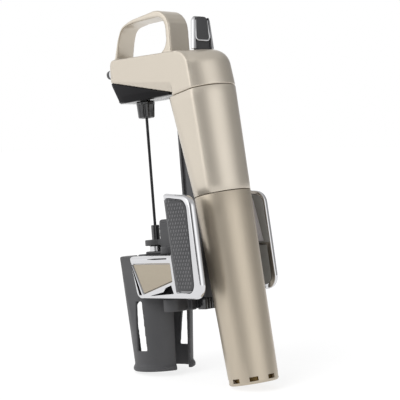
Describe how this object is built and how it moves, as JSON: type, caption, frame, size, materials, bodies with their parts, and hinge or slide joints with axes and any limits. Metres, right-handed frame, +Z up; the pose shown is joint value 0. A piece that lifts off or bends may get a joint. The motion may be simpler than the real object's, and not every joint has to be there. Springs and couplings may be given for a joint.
{
  "type": "wine preservation dispenser",
  "caption": "Handheld dispenser with a hollow needle, gas cup, trigger under a handle loop, and a sprung clamp that holds a bottle neck and slides up its rail.",
  "frame": {"origin": "middle of the bounding box at its base, on the table that the neck sleeve and the gas cup stand on", "axes": "+Z up, +X towards the spout, +Y to the left of someone who holds the handle"},
  "size_m": [0.1408, 0.0676, 0.225],
  "materials": {
    "housing": "metallic champagne paint, satin",
    "cup": "champagne anodised, satin",
    "chrome": "polished",
    "graphite": "fine satin",
    "black": "satin",
    "gloss_black": "polished",
    "needle_coat": "black low-friction coat",
    "brass": "turned",
    "steel": "turned",
    "alloy": "turned",
    "rubber": "soft, matt"
  },
  "bodies": {
    "body": {"head_housing": "housing", "under_cover": "gloss_black", "spout": "chrome", "spout_mouth": "black", "needle_socket": "brass", "gas_tube": "steel", "body_shell": "housing", "slide_rail": "graphite", "rail_end": "black", "rail_screws": "steel", "regulator": "alloy", "cup_spigot": "graphite", "regulator_seal": "rubber", "piercing_pin": "steel", "valve_block": "alloy", "trigger_pin": "steel"},
    "trigger": {"trigger_lever": "chrome", "trigger_insert": "graphite"},
    "valve": {"valve_stem": "steel"},
    "needle_seal": {"knob_seal": "rubber"},
    "needle_unit": {"needle_knob": "black", "needle": "needle_coat"},
    "capsule": {"gas_capsule": "alloy"},
    "cup": {"gas_cup": "cup", "capsule_liner": "graphite"},
    "clamp": {"clamp_carriage": "graphite", "needle_guide": "black", "hinge_pins": "steel", "slide_pads": "black"},
    "left_clamp_jaw": {"left_jaw": "graphite", "left_neck_pad": "rubber", "left_grip_frame": "chrome", "left_grip_pad": "rubber", "left_plate": "housing", "left_inner_cover": "graphite"},
    "right_clamp_jaw": {"right_jaw": "graphite", "right_neck_pad": "rubber", "right_grip_frame": "chrome", "right_grip_pad": "rubber", "right_plate": "housing", "right_inner_cover": "graphite"}
  },
  "joints": [
    {"name": "trigger_pull", "type": "hinge", "parent": "body", "child": "trigger", "pos_m": [-0.01659, 0, 0.19445], "axis": [0, 1, 0], "range_deg": [0, 10], "stiffness_Nm_per_rad": 0.4, "springref_deg": -5.73},
    {"name": "valve_press", "type": "slide", "parent": "body", "child": "valve", "axis": [-0.2175, 0, -0.9761], "range_m": [0, 0.0006]},
    {"name": "needle_drop", "type": "slide", "parent": "body", "child": "needle_seal", "axis": [-0.0969, 0, -0.9953], "range_m": [0, 0.003]},
    {"name": "needle_turn", "type": "hinge", "parent": "needle_seal", "child": "needle_unit", "pos_m": [0.03581, 0, 0.16919], "axis": [-0.0969, 0, -0.9953], "range_deg": [0, 1080]},
    {"name": "cup_drop", "type": "slide", "parent": "body", "child": "capsule", "axis": [-0.2175, 0, -0.9761], "range_m": [0, 0.006]},
    {"name": "cup_turn", "type": "hinge", "parent": "capsule", "child": "cup", "pos_m": [-0.03152, 0, 0.11325], "axis": [-0.2175, 0, -0.9761], "range_deg": [0, 1080]},
    {"name": "clamp_slide", "type": "slide", "parent": "body", "child": "clamp", "axis": [0.0969, 0, 0.9953], "range_m": [0, 0.06]},
    {"name": "left_jaw_open", "type": "hinge", "parent": "clamp", "child": "left_clamp_jaw", "pos_m": [-0.00485, 0.0156, 0.04052], "axis": [0.0969, 0, 0.9953], "range_deg": [0, 8], "stiffness_Nm_per_rad": 1, "springref_deg": -8.59},
    {"name": "right_jaw_open", "type": "hinge", "parent": "clamp", "child": "right_clamp_jaw", "pos_m": [-0.00485, -0.0156, 0.04052], "axis": [-0.0969, 0, -0.9953], "range_deg": [0, 8], "stiffness_Nm_per_rad": 1, "springref_deg": -8.59}
  ],
  "couplings": [
    {"joint": "valve_press", "follows": "trigger_pull", "m_per_rad": 0.003},
    {"joint": "needle_turn", "follows": "needle_drop", "rad_per_m": 6283.2},
    {"joint": "cup_turn", "follows": "cup_drop", "rad_per_m": 3141.6}
  ]
}
